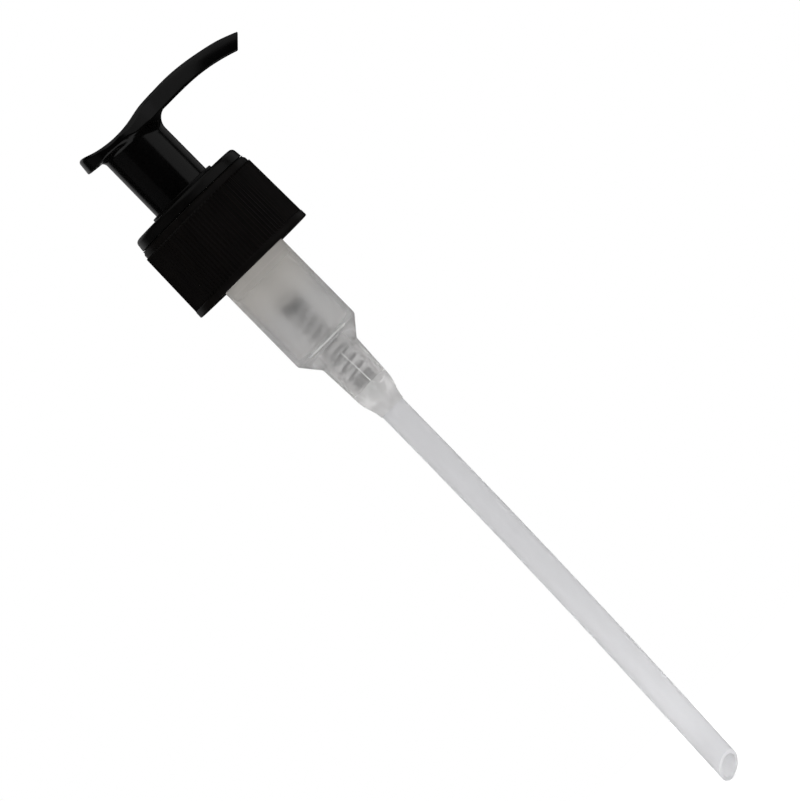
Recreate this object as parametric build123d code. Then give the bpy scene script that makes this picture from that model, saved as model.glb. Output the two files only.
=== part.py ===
from build123d import *

import math
import os

# Screw-on condiment pump with a curved dispensing arm, a 28-410 neck collar, a clear housing and a dip tube.
#
# Frame: millimetres, +Z up the pump, +X towards the nozzle. The origin is on the pump axis, in the plane of
# the bottle's rim, which is the underside of the gasket. The plunger is shown fully up, as the spring holds it.
#
# How it works: pressing the head pushes the stem and the valve rod down. The piston seal lags behind, so the
# rod's cone leaves the seal and lets product up through the stem to the nozzle. The spring returns the plunger,
# the cone closes on the seal, and the ball lifts off its seat to refill the housing through the dip tube.

# ---- Driving dimensions ----------------------------------------------------------------------------------

# Motion
STROKE = 14.0  # full press of the head
LOST_MOTION = 1.0  # seal lags behind the rod by this much before the stem pushes it

# Clearances
RUNNING = 0.05  # radial, piston lips in the bore
GUIDE = 0.1  # radial, stem in its guides
FREE = 0.3  # radial, moving parts that must not touch

# Neck seal and collar
GASKET_THICK = 1.1
FLANGE_THICK = 1.4
FLANGE_R = 12.8
COLLAR_BOTTOM = -16.07
COLLAR_TOP = 3.85
COLLAR_BAND_R = 16.75  # plain band round the lower edge
COLLAR_BAND_TOP = -14.36
RIB_COUNT = 96
RIB_TOP = 2.05
RIB_TIP_R = 16.3  # at the top of the ribs; the collar has draft
RIB_DEPTH = 0.36
COLLAR_DRAFT = math.tan(math.radians(1.1))
THREAD_PITCH = 4.233  # six threads per inch
THREAD_TURNS = 1.5
THREAD_ROOT_R = 14.1
THREAD_CREST_R = 12.95
THREAD_START = -14.4  # height of the ridge's first turn, at its middle

# Locking ring
RING_BOTTOM = 4.0
RING_TOP = 6.66
RING_R = 15.55
RING_EDGE_R = 1.1  # rounding of the disc's top edge
RELIEF_R = (10.6, 14.2)  # shallow groove under the disc
RELIEF_DEPTH = 1.2
BOSS_R = 8.97
BOSS_TOP = 7.44
GUIDE_TUBE_R = 6.3  # upright tube in the well, between the head's column and its socket
GUIDE_TUBE_BORE_R = 5.4
GUIDE_TUBE_TOP = 5.0

# Head
COLUMN_R = 7.9
COLUMN_BOTTOM = 6.3
COLUMN_WALL = 1.1
HEAD_CEILING = 20.5  # inside the column
SOCKET_WALL = 1.05  # round the stem's upper end
SOCKET_BOTTOM = 10.5
RISER_R = 2.2
RISER_TOP = 22.9
OUTLET_R = 1.4
PLAN_BASE = 20.0  # lower and upper limits of the arm's blank
PLAN_DEPTH = 12.0

# Stem, seal and valve rod
STEM_R = 3.95
STEM_BORE_R = 2.7
STEM_BOTTOM = -14.0
WELL_FLOOR_THICK = 1.0
SHOULDER_R = 5.0
SHOULDER_THICK = 0.8
CONE_R = 4.75
ROD_R = 2.0
ROD_TIE_R = 1.2  # core of the finned spigot
FIN_THICK = 0.9
SPIGOT_TOP = -7.0
SPRING_SEAT_R = 2.95
SPRING_SPIGOT_R = 1.85
SEAL_BOTTOM = -17.85
SEAL_LIP_BOTTOM = -17.95
SEAL_WEB = (-15.0, -13.6)  # lower and upper face of the seal's web
SEAL_SLEEVE_R = 5.0
SEAL_SKIRT_R = (6.4, 7.0)  # inside of the lips, at the web and at the rims
SEAL_WAIST_R = 7.1

# Housing
BORE_R = 7.6
BARREL_R = 8.94
THROAT_R = 9.95  # wider top section that holds the locking ring
BARREL_FLOOR = -39.8
BARREL_END = -39.5
CONE_END = -43.9
WAIST_R = 5.34
WAIST_END_R = 4.8
WAIST_END = -54.8
MOUTH_R = 3.41
MOUTH = -60.9
SPRING_CHAMBER_R = 4.3
SPRING_CHAMBER_END_R = 4.05
FLOOR_CORNER_R = 1.85  # inner corner between the barrel and its floor
GUIDE_RIB_COUNT = 4
GUIDE_RIB_WIDTH = 0.55
GUIDE_RIB_TURN = 4.0  # degrees by which the ribs sit off the row axes
CAGE_R = 2.4  # inner edges of the ribs below the spring's ledge, round the ball
BALL_HOLE_R = 1.35

# Spring
SPRING_TOP = -27.2
SPRING_BOTTOM = -53.4
SPRING_R = 2.475  # to the middle of the wire
WIRE_R = 0.375
CLOSED_TURNS = 3.0  # at each end
CLOSED_PITCH = 0.8
ACTIVE_TURNS = 8.5

# Ball and dip tube
BALL_R = 2.25
TUBE_R = 3.175
TUBE_BORE_R = 2.375
TUBE_BEND_R = 2430.0  # the tube's slight curl, away from the nozzle
TUBE_TIP = -172.3  # middle of the slanted cut
TUBE_END_STRAIGHT = 20.0
TIP_SLOPE_X = 0.4
TIP_SLOPE_Y = -0.75

# Worked out from the above
WELL_FLOOR = COLUMN_BOTTOM - STROKE - 0.5
RING_SLEEVE_END = WELL_FLOOR - WELL_FLOOR_THICK
RING_BORE_R = COLUMN_R + FREE
RING_SLEEVE_R = BOSS_R - 0.02
SHOULDER_TOP = RING_SLEEVE_END - 0.1
SHOULDER_BOTTOM = SHOULDER_TOP - SHOULDER_THICK
SEAL_TOP = SHOULDER_BOTTOM - LOST_MOTION
SEAT_CONE_TOP = WAIST_END + 0.6
SEAT_CONE_BOTTOM = SEAT_CONE_TOP - (SPRING_CHAMBER_END_R - BALL_HOLE_R)
SOCKET_TOP = SEAT_CONE_BOTTOM - 0.6
BALL_REST = SEAT_CONE_TOP - SPRING_CHAMBER_END_R + BALL_R * math.sqrt(2)


# ---- Helpers ---------------------------------------------------------------------------------------------


def turned(*corners):
    """A body of revolution about the pump axis, from its (radius, height) corners."""
    outline = Polyline(*[(r, 0, z) for r, z in corners], close=True)
    return revolve(make_face(outline), Axis.Z)


def tube(outer, inner, low, high):
    """A plain ring or tube on the pump axis."""
    return turned((inner, low), (outer, low), (outer, high), (inner, high))


def rims(solid, radius, height):
    """The circular edges of a turned solid at one radius and height."""
    circles = solid.edges().filter_by(GeomType.CIRCLE)
    return circles.filter_by(
        lambda e: abs(e.radius - radius) < 0.01 and abs(e.arc_center.Z - height) < 0.01
    )


# ---- Neck parts ------------------------------------------------------------------------------------------


def neck_gasket():
    """Flat washer between the housing's flange and the bottle's rim."""
    return tube(FLANGE_R - FREE, THROAT_R + RUNNING, 0, GASKET_THICK)


def rib_section(tip_radius, height):
    """The collar's gripping ribs at one height: a closed ring of flat-topped teeth."""
    step = 2 * math.pi / RIB_COUNT
    ring = []
    for tooth in range(RIB_COUNT):
        for share, depth in ((0.0, RIB_DEPTH), (0.3, 0.0), (0.7, 0.0)):
            angle = (tooth + share) * step
            radius = tip_radius - depth
            ring.append((radius * math.cos(angle), radius * math.sin(angle), height))
    return make_face(Polyline(*ring, close=True))


def neck_thread():
    """The collar's inner thread ridge, with its root buried in the wall."""
    turns = Helix(
        pitch=THREAD_PITCH,
        height=THREAD_PITCH * THREAD_TURNS,
        radius=THREAD_ROOT_R,
        center=(0, 0, THREAD_START),
    )
    bury = 0.35
    rise = THREAD_ROOT_R - THREAD_CREST_R
    section = Plane(origin=turns @ 0, x_dir=(1, 0, 0), z_dir=turns % 0)
    ridge = make_face(
        Polyline((bury, -1.1), (bury, 1.1), (-rise, 0.4), (-rise, -0.4), close=True)
    )
    return sweep(section * ridge, path=turns, is_frenet=True)


def screw_collar():
    """Ribbed screw cap that clamps the housing's flange down on the bottle."""
    roof = GASKET_THICK + FLANGE_THICK + 0.12
    band_r = RIB_TIP_R - 0.3
    body = turned(
        (THROAT_R - 0.1, roof),
        (THROAT_R - 0.1, COLLAR_TOP),
        (band_r - 0.5, COLLAR_TOP),
        (band_r - 0.1, COLLAR_TOP - 0.4),
        (band_r, RIB_TOP - 0.2),
        (RIB_TIP_R - 0.8, RIB_TOP - 0.2),
        (RIB_TIP_R - 0.8, COLLAR_BAND_TOP + 0.2),
        (COLLAR_BAND_R - 0.04, COLLAR_BAND_TOP + 0.2),
        (COLLAR_BAND_R, COLLAR_BOTTOM),
        (THREAD_ROOT_R + 0.4, COLLAR_BOTTOM),
        (THREAD_ROOT_R, COLLAR_BOTTOM + 0.4),
        (THREAD_ROOT_R, roof),
    )
    spread = (RIB_TOP - COLLAR_BAND_TOP) * COLLAR_DRAFT
    lower = rib_section(RIB_TIP_R + spread, COLLAR_BAND_TOP)
    upper = rib_section(RIB_TIP_R, RIB_TOP)
    ribs = loft([lower, upper], ruled=True)
    core = tube(RIB_TIP_R - 1.2, 0, COLLAR_BAND_TOP - 1, RIB_TOP + 1)
    return body + (ribs - core) + neck_thread()


def locking_ring():
    """Disc over the collar, with a sleeve, a well for the head's column and a guide for the stem.

    The sleeve snaps into the housing's throat and holds the plunger in.
    """
    ring = turned(
        (RING_SLEEVE_R, RING_SLEEVE_END),
        (RING_SLEEVE_R, RING_BOTTOM),
        (RELIEF_R[0], RING_BOTTOM),
        (RELIEF_R[0], RING_BOTTOM + RELIEF_DEPTH),
        (RELIEF_R[1], RING_BOTTOM + RELIEF_DEPTH),
        (RELIEF_R[1], RING_BOTTOM),
        (RING_R, RING_BOTTOM),
        (RING_R - 0.28, RING_TOP),
        (BOSS_R, RING_TOP),
        (BOSS_R, BOSS_TOP),
        (RING_BORE_R, BOSS_TOP),
        (RING_BORE_R, WELL_FLOOR),
        (GUIDE_TUBE_R, WELL_FLOOR),
        (GUIDE_TUBE_R, GUIDE_TUBE_TOP),
        (GUIDE_TUBE_BORE_R, GUIDE_TUBE_TOP),
        (GUIDE_TUBE_BORE_R, WELL_FLOOR),
        (STEM_R + GUIDE, WELL_FLOOR),
        (STEM_R + GUIDE, RING_SLEEVE_END),
    )
    ring = fillet(rims(ring, RING_R - 0.28, RING_TOP), RING_EDGE_R)
    return fillet(rims(ring, BOSS_R, BOSS_TOP), 0.25)


# ---- Head and stem ---------------------------------------------------------------------------------------


def outlet_path():
    """Centre line of the nozzle's passage: a rising arc inside the arm, then a straight outlet."""
    arc = ThreePointArc((0, 0, 22.3), (13, 0, 26.2), (25, 0, 25.3))
    end = arc @ 1
    outward = arc % 1
    return arc, Line(end, end + outward * 12)


def arm_side():
    """Side view of the saddle and arm, with the slanted nozzle tip."""
    top = Spline(
        (-10.6, 0, 28.55),
        (-5.6, 0, 27.15),
        (-2.2, 0, 26.8),
        (1.4, 0, 27.05),
        (5.3, 0, 27.85),
        (10.0, 0, 28.4),
        (17.0, 0, 28.5),
        (25.9, 0, 27.3),
        (34.75, 0, 24.57),
    )
    under = Spline((31.8, 0, 21.5), (25.9, 0, 23.1), (19.5, 0, 23.95), (11.65, 0, 23.9))
    tip = Line(top @ 1, under @ 0)
    web = ThreePointArc(under @ 1, (9.0, 0, 23.2), (COLUMN_R, 0, 21.6))
    inside = Polyline(web @ 1, (4, 0, 21.6), (4, 0, 24.7), (-8.2, 0, 24.8), (-12.1, 0, 25.06))
    back = Line(inside @ 1, (-11.65, 0, 27.5))
    lobe = TangentArc(back @ 1, top @ 0, tangent=(0.18, 0, 1))
    return make_face(Curve() + [top, tip, under, web, inside, back, lobe])


def arm_plan():
    """Plan view of the saddle and arm: a thumb pad that tapers to the nozzle."""
    side = Spline(
        (-12.3, 0.0),
        (-10.6, 5.4),
        (-4.0, 8.8),
        (3.0, 7.9),
        (9.0, 6.1),
        (16.0, 4.8),
        (26.0, 3.6),
        (36.0, 2.9),
        tangents=((0, 1), (1, -0.05)),
    )
    end = Line(side @ 1, (36.0, -2.9))
    return make_face(Curve() + [side, end, mirror(side, about=Plane.XZ)])


def actuator_head():
    """Thumb saddle, dispensing arm and column in one moulding, with a socket for the stem."""
    side = extrude(arm_side(), amount=PLAN_DEPTH, dir=(0, 1, 0), both=True)
    plan = extrude(Plane.XY.offset(PLAN_BASE) * arm_plan(), amount=PLAN_DEPTH)
    column_top = 25.2  # inside the arm
    head = (side & plan) + tube(COLUMN_R, 0, COLUMN_BOTTOM, column_top)
    socket_r = STEM_R + SOCKET_WALL
    jacket = tube(COLUMN_R - COLUMN_WALL, socket_r, COLUMN_BOTTOM - 1, HEAD_CEILING)
    below_socket = tube(socket_r + 0.05, 0, COLUMN_BOTTOM - 1, SOCKET_BOTTOM)
    socket = tube(STEM_R, 0, SOCKET_BOTTOM - 0.5, HEAD_CEILING)
    riser = tube(RISER_R, 0, HEAD_CEILING - 0.1, RISER_TOP)
    head = head - jacket - below_socket - socket - riser
    arc, outlet = outlet_path()
    start = Plane(origin=arc @ 0, z_dir=arc % 0)
    bend = sweep(start * Circle(OUTLET_R), path=arc)
    mouth = Plane(origin=outlet @ 0, z_dir=outlet % 0)
    straight = extrude(mouth * Circle(OUTLET_R), amount=outlet.length)
    return head - bend - straight


def piston_stem():
    """Hollow tube from the head down to the seal, with the shoulder that pushes the seal."""
    return turned(
        (STEM_BORE_R, STEM_BOTTOM),
        (STEM_R, STEM_BOTTOM),
        (STEM_R, SHOULDER_BOTTOM),
        (SHOULDER_R, SHOULDER_BOTTOM),
        (SHOULDER_R, SHOULDER_TOP),
        (STEM_R, SHOULDER_TOP),
        (STEM_R, HEAD_CEILING),
        (STEM_BORE_R, HEAD_CEILING),
    )


def valve_rod():
    """Rod with the outlet cone, the spring's seat and a finned spigot that snaps into the stem."""
    cone_z = SEAL_BOTTOM - 0.05 - (CONE_R - STEM_R - GUIDE)
    cone_rise = CONE_R - ROD_R
    body = turned(
        (0, SPRING_TOP - 2.0),
        (SPRING_SPIGOT_R - 0.35, SPRING_TOP - 2.0),
        (SPRING_SPIGOT_R, SPRING_TOP - 1.5),
        (SPRING_SPIGOT_R, SPRING_TOP),
        (SPRING_SEAT_R, SPRING_TOP),
        (SPRING_SEAT_R, SPRING_TOP + 1.1),
        (ROD_R, SPRING_TOP + 1.6),
        (ROD_R, cone_z - 2.2),
        (CONE_R, cone_z - 0.5),
        (CONE_R, cone_z),
        (ROD_R, cone_z + cone_rise),
        (ROD_TIE_R, cone_z + cone_rise),
        (ROD_TIE_R, SPIGOT_TOP),
        (0, SPIGOT_TOP),
    )
    fin_r = STEM_BORE_R - 0.08
    fin_low = cone_z + ROD_R
    tall = SPIGOT_TOP - fin_low
    fins = Box(2 * fin_r, FIN_THICK, tall) + Box(FIN_THICK, 2 * fin_r, tall)
    fins = Pos(0, 0, fin_low + tall / 2) * fins
    return body + (fins & tube(fin_r, 0, fin_low, SPIGOT_TOP))


def piston_seal():
    """Double-lipped piston with an inner sleeve that slides a little on the stem."""
    lip_r = BORE_R - RUNNING
    sleeve_bore_r = STEM_R + GUIDE
    web_bottom, web_top = SEAL_WEB
    skirt_root_r, skirt_rim_r = SEAL_SKIRT_R
    lip_top = SEAL_TOP - 0.1
    return turned(
        (sleeve_bore_r, SEAL_BOTTOM),
        (SEAL_SLEEVE_R, SEAL_BOTTOM),
        (SEAL_SLEEVE_R + 0.2, web_bottom),
        (skirt_root_r, web_bottom),
        (skirt_rim_r, SEAL_LIP_BOTTOM),
        (lip_r, SEAL_LIP_BOTTOM),
        (lip_r, SEAL_LIP_BOTTOM + 0.65),
        (SEAL_WAIST_R, web_bottom - 0.6),
        (SEAL_WAIST_R, web_top + 0.1),
        (lip_r, lip_top - 0.7),
        (lip_r, lip_top),
        (skirt_rim_r, lip_top),
        (skirt_root_r, web_top),
        (SEAL_SLEEVE_R + 0.2, web_top),
        (SEAL_SLEEVE_R, SEAL_TOP),
        (sleeve_bore_r, SEAL_TOP),
    )


# ---- Housing and what is in it ---------------------------------------------------------------------------


def pump_housing():
    """Stepped clear body: throat, flange, barrel, spring chamber, ball seat and tube socket."""
    flange_top = GASKET_THICK + FLANGE_THICK
    hub_r = THROAT_R - 0.4
    upper = Polyline(
        (BORE_R, 0, BARREL_FLOOR + FLOOR_CORNER_R),
        (BORE_R, 0, RING_SLEEVE_END),
        (RING_SLEEVE_R, 0, RING_SLEEVE_END),
        (RING_SLEEVE_R, 0, RING_BOTTOM),
        (hub_r, 0, RING_BOTTOM),
        (hub_r, 0, flange_top),
        (FLANGE_R, 0, flange_top),
        (FLANGE_R, 0, GASKET_THICK),
        (THROAT_R, 0, GASKET_THICK),
        (THROAT_R, 0, RING_SLEEVE_END - 0.4),
        (BARREL_R, 0, RING_SLEEVE_END - 2.2),
        (BARREL_R, 0, BARREL_END),
        (WAIST_R, 0, CONE_END),
        (WAIST_END_R, 0, WAIST_END),
    )
    ogive = Bezier(
        (WAIST_END_R, 0, WAIST_END),
        (WAIST_END_R - 0.15, 0, WAIST_END - 2.2),
        (MOUTH_R + 0.12, 0, MOUTH + 2.4),
        (MOUTH_R, 0, MOUTH),
    )
    lower = Polyline(
        (MOUTH_R, 0, MOUTH),
        (TUBE_R, 0, MOUTH),
        (TUBE_R, 0, SOCKET_TOP),
        (BALL_HOLE_R, 0, SOCKET_TOP),
        (BALL_HOLE_R, 0, SEAT_CONE_BOTTOM),
        (SPRING_CHAMBER_END_R, 0, SEAT_CONE_TOP),
        (SPRING_CHAMBER_R, 0, BARREL_FLOOR),
        (BORE_R - FLOOR_CORNER_R, 0, BARREL_FLOOR),
    )
    inset = FLOOR_CORNER_R * (1 - math.sqrt(0.5))
    corner = ThreePointArc(lower @ 1, (BORE_R - inset, 0, BARREL_FLOOR + inset), upper @ 0)
    body = revolve(make_face(Curve() + [upper, ogive, lower, corner]), Axis.Z)
    body = fillet(rims(body, BARREL_R, BARREL_END), 1.0)
    return body + guide_ribs()


def guide_ribs():
    """Ribs that centre the spring, with a ledge under it and the ball's cage below the ledge."""
    top = CONE_END + 0.15
    bury = 0.2  # into the chamber's wall
    inner_r = SPRING_R + WIRE_R + 0.15
    cage_foot = SEAT_CONE_TOP - SPRING_CHAMBER_END_R + CAGE_R - bury
    outline = make_face(
        Polyline(
            (inner_r, 0, top),
            (SPRING_CHAMBER_R + bury, 0, top),
            (SPRING_CHAMBER_END_R + bury, 0, SEAT_CONE_TOP),
            (CAGE_R, 0, cage_foot),
            (CAGE_R, 0, SPRING_BOTTOM),
            (inner_r, 0, SPRING_BOTTOM),
            close=True,
        )
    )
    rib = extrude(outline, amount=GUIDE_RIB_WIDTH / 2, dir=(0, 1, 0), both=True)
    turn = 360 / GUIDE_RIB_COUNT
    return [Rot(0, 0, GUIDE_RIB_TURN + i * turn) * rib for i in range(GUIDE_RIB_COUNT)]


def coil(bottom, turns, pitch, start_angle):
    """One stretch of round spring wire, wound right-handed."""
    path = Helix(pitch=pitch, height=pitch * turns, radius=SPRING_R, center=(0, 0, bottom))
    section = Plane(origin=path @ 0, x_dir=(1, 0, 0), z_dir=path % 0)
    wire = sweep(section * Circle(WIRE_R), path=path, is_frenet=True)
    return Rot(0, 0, start_angle) * wire


def return_spring():
    """Compression spring with closed ends, between the valve rod and the ledge of the ribs."""
    low = SPRING_BOTTOM + WIRE_R + 0.02
    high = SPRING_TOP - WIRE_R - 0.02
    closed = CLOSED_TURNS * CLOSED_PITCH
    active_pitch = (high - low - 2 * closed) / ACTIVE_TURNS
    first = coil(low, CLOSED_TURNS, CLOSED_PITCH, 0)
    middle = coil(low + closed, ACTIVE_TURNS, active_pitch, 360 * CLOSED_TURNS)
    last = coil(high - closed, CLOSED_TURNS, CLOSED_PITCH, 360 * (CLOSED_TURNS + ACTIVE_TURNS))
    return first + middle + last


def inlet_ball():
    """Ball that closes the dip tube's end of the housing."""
    return Pos(0, 0, BALL_REST + 0.02) * Sphere(BALL_R)


def dip_tube():
    """Suction tube: straight in its socket, a slight curl, a straight end and a slanted tip."""
    section = Circle(TUBE_R) - Circle(TUBE_BORE_R)
    bend_start = MOUTH - 1.0
    bend_angle = (bend_start - TUBE_TIP - TUBE_END_STRAIGHT) / TUBE_BEND_R
    top = extrude(Plane.XY.offset(bend_start) * section, amount=SOCKET_TOP - bend_start)
    centre = Axis((-TUBE_BEND_R, 0, bend_start), (0, 1, 0))
    curl = revolve(Plane.XY.offset(bend_start) * section, centre, math.degrees(bend_angle))
    end_x = TUBE_BEND_R * (math.cos(bend_angle) - 1)
    end_z = bend_start - TUBE_BEND_R * math.sin(bend_angle)
    downward = (-math.sin(bend_angle), 0, -math.cos(bend_angle))
    end_plane = Plane(origin=(end_x, 0, end_z), x_dir=(0, 1, 0), z_dir=downward)
    end = extrude(end_plane * section, amount=TUBE_END_STRAIGHT + 5)
    tip_x = end_x - TUBE_END_STRAIGHT * math.sin(bend_angle)
    slant = Plane(origin=(tip_x, 0, TUBE_TIP), z_dir=(-TIP_SLOPE_X, -TIP_SLOPE_Y, 1))
    whole = top + curl + end
    return split(whole, bisect_by=slant, keep=Keep.TOP)


# ---- Output ----------------------------------------------------------------------------------------------

PIECES = {
    "actuator_head": actuator_head,
    "piston_stem": piston_stem,
    "valve_rod": valve_rod,
    "piston_seal": piston_seal,
    "return_spring": return_spring,
    "locking_ring": locking_ring,
    "screw_collar": screw_collar,
    "neck_gasket": neck_gasket,
    "pump_housing": pump_housing,
    "inlet_ball": inlet_ball,
    "dip_tube": dip_tube,
}

os.makedirs("parts", exist_ok=True)
for node, make in PIECES.items():
    export_step(make(), f"parts/{node}.step")
    print("wrote", node)
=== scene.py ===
import math

import bmesh
import bpy
import numpy as np
from mathutils import Matrix, Vector


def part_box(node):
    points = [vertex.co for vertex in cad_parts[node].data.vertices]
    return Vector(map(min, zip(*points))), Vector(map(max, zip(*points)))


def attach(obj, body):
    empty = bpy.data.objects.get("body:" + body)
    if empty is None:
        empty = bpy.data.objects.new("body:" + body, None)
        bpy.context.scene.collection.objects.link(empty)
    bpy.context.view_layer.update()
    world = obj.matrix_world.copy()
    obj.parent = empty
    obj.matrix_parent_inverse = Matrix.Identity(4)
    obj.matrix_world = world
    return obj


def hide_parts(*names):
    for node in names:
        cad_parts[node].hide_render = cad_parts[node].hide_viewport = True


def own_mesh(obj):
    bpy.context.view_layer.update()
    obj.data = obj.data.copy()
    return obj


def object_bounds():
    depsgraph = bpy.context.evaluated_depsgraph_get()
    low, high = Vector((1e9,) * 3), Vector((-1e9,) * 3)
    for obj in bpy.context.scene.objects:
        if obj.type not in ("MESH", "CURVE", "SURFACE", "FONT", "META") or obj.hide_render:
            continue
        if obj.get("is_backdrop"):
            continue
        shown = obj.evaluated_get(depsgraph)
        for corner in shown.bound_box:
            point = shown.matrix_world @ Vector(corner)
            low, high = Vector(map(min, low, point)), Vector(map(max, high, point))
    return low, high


# Looks for the screw-on condiment pump. The pump stands on its own axis, +Z up, with the bottle's rim at 0.
# The head, collar, spring and painted highlight strips are made by formula in millimetres, like the design,
# and scaled once by MM. The first three take their foot and top from the boxes of the CAD nodes that they
# stand for.
# Materials, lights and the camera are in metres.

MM = 0.001
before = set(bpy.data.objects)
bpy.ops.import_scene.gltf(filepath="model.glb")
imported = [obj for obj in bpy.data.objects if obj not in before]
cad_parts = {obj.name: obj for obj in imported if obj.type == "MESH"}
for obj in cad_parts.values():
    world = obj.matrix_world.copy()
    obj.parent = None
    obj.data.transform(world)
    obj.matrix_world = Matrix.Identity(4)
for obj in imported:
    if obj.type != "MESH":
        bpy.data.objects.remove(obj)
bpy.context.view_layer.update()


# ---- Small tools -----------------------------------------------------------------------------------------


def top_mm(node):
    """Height of a CAD node's highest point, in millimetres."""
    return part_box(node)[1].z / MM


def bottom_mm(node):
    """Height of a CAD node's lowest point, in millimetres."""
    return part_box(node)[0].z / MM


def new_object(name, verts_mm, faces, smooth=True):
    """A mesh object from vertices in millimetres."""
    mesh = bpy.data.meshes.new(name)
    mesh.from_pydata((np.asarray(verts_mm) * MM).tolist(), [], faces)
    mesh.validate()
    if smooth:
        mesh.shade_smooth()
    piece = bpy.data.objects.new(name, mesh)
    bpy.context.scene.collection.objects.link(piece)
    return piece


def stand_in(piece, body, node, material):
    """The piece shows a CAD node: same body, same material slot, its own finish."""
    piece.data.materials.clear()
    piece.data.materials.append(material)
    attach(piece, body)
    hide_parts(node)
    return piece


def smooth_curve(points):
    """A natural cubic spline through (x, value) points, as a function of an array of x."""
    xs, vs = np.array(points, float).T
    h = np.diff(xs)
    slope = np.diff(vs) / h
    n = len(xs)
    system = np.eye(n)
    right = np.zeros(n)
    for i in range(1, n - 1):
        system[i, i - 1 : i + 2] = h[i - 1], 2 * (h[i - 1] + h[i]), h[i]
        right[i] = 6 * (slope[i] - slope[i - 1])
    bend = np.linalg.solve(system, right)

    def value(x):
        x = np.asarray(x, float)
        i = np.clip(np.searchsorted(xs, x) - 1, 0, n - 2)
        t = x - xs[i]
        first = slope[i] - h[i] * (2 * bend[i] + bend[i + 1]) / 6
        inside = vs[i] + first * t + bend[i] / 2 * t**2 + (bend[i + 1] - bend[i]) / (6 * h[i]) * t**3
        last = slope[-1] + h[-1] * bend[-2] / 6
        before = vs[0] + (slope[0] - h[0] * bend[1] / 6) * (x - xs[0])
        after = vs[-1] + last * (x - xs[-1])
        return np.where(x < xs[0], before, np.where(x > xs[-1], after, inside))

    return value


def stretch_of(curve, x):
    """Length along a curve for each millimetre of x. A vertical gap over it is about the true distance."""
    reach = 0.05
    slope = (curve(x + reach) - curve(x - reach)) / (2 * reach)
    return np.sqrt(1 + slope**2)


def smooth_step(x, low, high):
    """0 below low, 1 above high, and an S curve between them."""
    t = np.clip((x - low) / (high - low), 0, 1)
    return t * t * (3 - 2 * t)


def eased(x, low, high, before, after):
    """A value that goes smoothly from before to after as x goes from low to high."""
    return before + (after - before) * smooth_step(x, low, high)


# ---- Solid fields: negative inside, positive outside, in millimetres ------------------------------------


def round_and(a, b, radius):
    """Where both fields are inside, with the outer edge between them rounded."""
    edge = np.hypot(np.maximum(a + radius, 0), np.maximum(b + radius, 0))
    return np.minimum(np.maximum(a, b), -radius) + edge


def round_or(a, b, radius):
    """Where either field is inside, with a fillet between them."""
    edge = np.hypot(np.maximum(radius - a, 0), np.maximum(radius - b, 0))
    return np.maximum(np.minimum(a, b), radius) - edge


def rod_field(radial, z, radius, low, high):
    """A plain cylinder on the pump axis."""
    return np.maximum(radial - radius, np.maximum(low - z, z - high))


def skin(field, low, high, step):
    """Vertices, faces and normals of a field's surface: one vertex in each grid cell that the surface
    crosses, then moved along the field's slope until it lies on the surface."""
    axes = [np.arange(low[k], high[k] + step, step) for k in range(3)]
    value = field(*np.meshgrid(*axes, indexing="ij"))
    inside = value < 0
    cells = np.zeros(np.array(value.shape) - 1, int)
    for corner in np.ndindex(2, 2, 2):
        cells += inside[tuple(slice(c, s - 1 + c) for c, s in zip(corner, value.shape))]
    used = (cells > 0) & (cells < 8)
    index = np.full(cells.shape, -1)
    index[used] = np.arange(used.sum())
    verts = np.array(low) + (np.argwhere(used) + 0.5) * step
    faces = np.concatenate([grid_quads(inside, index, axis) for axis in range(3)])

    rounds = 6
    reach = 0.02
    flattest = 0.05  # keeps the step finite where the field hardly slopes
    for _ in range(rounds):
        here = field(*verts.T)
        ahead = [field(*(verts + reach * d).T) for d in np.eye(3)]
        behind = [field(*(verts - reach * d).T) for d in np.eye(3)]
        slope = (np.stack(ahead, 1) - np.stack(behind, 1)) / (2 * reach)
        size = np.maximum((slope**2).sum(1), flattest)
        verts = verts - np.clip(here / size, -step / 2, step / 2)[:, None] * slope
    normals = slope / np.linalg.norm(slope, axis=1)[:, None]
    return verts, faces, normals


def grid_quads(inside, index, axis):
    """One quad for each grid edge along an axis that the surface crosses, with its outside facing out."""
    other = [k for k in range(3) if k != axis]
    a = np.take(inside, range(0, inside.shape[axis] - 1), axis)
    b = np.take(inside, range(1, inside.shape[axis]), axis)
    edges = np.argwhere(a != b)
    edges = edges[(edges[:, other] > 0).all(1)]
    edges = edges[(edges[:, other] < np.array(index.shape)[other]).all(1)]
    outward = a[tuple(edges.T)]
    ring = []
    for du, dv in ((0, 0), (1, 0), (1, 1), (0, 1)):
        cell = edges.copy()
        cell[:, other[0]] -= du
        cell[:, other[1]] -= dv
        ring.append(index[tuple(cell.T)])
    quads = np.stack(ring, 1)
    flip = outward != (axis == 1)
    quads[flip] = quads[flip][:, ::-1]
    return quads[:, ::-1]


# ---- Head ------------------------------------------------------------------------------------------------

# Side outline of the saddle and arm, and the half width seen from above, against x.
ARM_TOP = smooth_curve(
    [(-12.5, 29.0), (-10.3, 28.5), (-8.2, 27.75), (-5.4, 27.1), (-2.5, 26.8), (1.0, 27.0), (5.3, 27.85),
     (9.9, 28.35), (17.0, 28.5), (21.6, 28.05), (25.9, 27.3), (30.1, 26.3), (34.75, 24.57)]
)
ARM_UNDER = smooth_curve(
    [(-12.1, 25.06), (-8.2, 24.8), (0.0, 24.3), (7.0, 24.0), (15.2, 24.0), (20.5, 23.85), (25.9, 23.1),
     (31.8, 21.5), (36.0, 20.0)]
)
HALF_WIDTH = smooth_curve(
    [(-5.0, 8.8), (-1.0, 8.6), (3.0, 7.75), (7.0, 6.6), (11.0, 5.5), (15.0, 4.6), (19.0, 3.85), (23.0, 3.3),
     (27.0, 3.0), (31.0, 2.85), (36.0, 2.75)]
)
PLAN_HEIGHT = 25.0  # where the arm has those half widths
PAD_MIDDLE = -3.6
PAD_REACH = 8.6  # from the pad's middle back to its rear edge
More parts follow.
